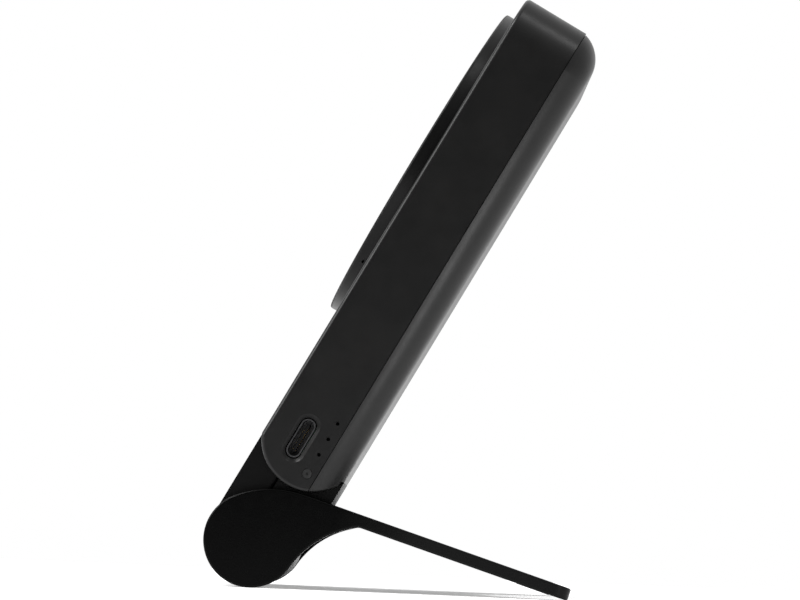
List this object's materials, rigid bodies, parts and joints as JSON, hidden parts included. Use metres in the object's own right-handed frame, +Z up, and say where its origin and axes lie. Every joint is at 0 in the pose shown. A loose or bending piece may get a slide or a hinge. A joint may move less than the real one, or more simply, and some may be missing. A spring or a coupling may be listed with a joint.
{
  "type": "power bank with folding stand",
  "caption": "Flat power bank leaning on a forked stand leg hinged at its lower end, with a raised round charging face, a charging port, battery lights and a button.",
  "frame": {"origin": "on the table, under the middle of the open stand's box", "axes": "+X along the hinge towards the charging port's side, -Y towards the side the round face looks to, +Z up"},
  "size_m": [0.077, 0.0788, 0.1273],
  "materials": {
    "case_black": "fine matte moulded",
    "neck_black": "fine matte moulded",
    "leg_black": "satin black coating",
    "disc_black": "fine matte moulded",
    "pad_rubber": "soft matte",
    "port_steel": "satin",
    "dark_plastic": "plain",
    "light_plastic": "translucent",
    "button_black": "satin",
    "board_green": "solder mask",
    "cell_foil": "foil pouch",
    "foam_grey": "foam",
    "steel": "plain",
    "magnet_nickel": "nickel plated",
    "coil_copper": "enamelled copper wire",
    "ferrite": "sintered"
  },
  "bodies": {
    "case": {"battery_cell": "cell_foil", "battery_foam": "foam_grey", "board_screw_left": "steel", "board_screw_right": "steel", "bracket_screw_left": "steel", "bracket_screw_right": "steel", "charging_coil": "coil_copper", "charging_disc": "disc_black", "coil_tray": "dark_plastic", "control_chip": "dark_plastic", "disc_pad": "pad_rubber", "ferrite_shield": "ferrite", "friction_sleeve_left": "steel", "friction_sleeve_right": "steel", "front_shell": "case_black", "hinge_bracket": "steel", "inner_frame": "dark_plastic", "led_1": "light_plastic", "led_2": "light_plastic", "led_3": "light_plastic", "light_guide": "light_plastic", "magnet_ring": "magnet_nickel", "main_board": "board_green", "neck_arm": "neck_black", "neck_cover": "neck_black", "power_coil": "dark_plastic", "rear_shell": "case_black", "tact_switch": "dark_plastic", "usb_c_shell": "port_steel", "usb_c_tongue": "dark_plastic"},
    "leg": {"stand_leg": "leg_black", "foot_pad_left": "pad_rubber", "foot_pad_right": "pad_rubber", "hinge_shaft_left": "steel", "hinge_shaft_right": "steel"},
    "button": {"power_button": "button_black"}
  },
  "joints": [
    {"name": "leg_hinge", "type": "hinge", "parent": "case", "child": "leg", "pos_m": [0, -0.02939, 0.01], "axis": [1, 0, 0], "range_deg": [-281.8, 0]},
    {"name": "button_press", "type": "slide", "parent": "case", "child": "button", "axis": [-1, 0, 0], "range_m": [0, 0.0003], "stiffness_N_per_m": 2000, "springref_m": -0.0002}
  ]
}
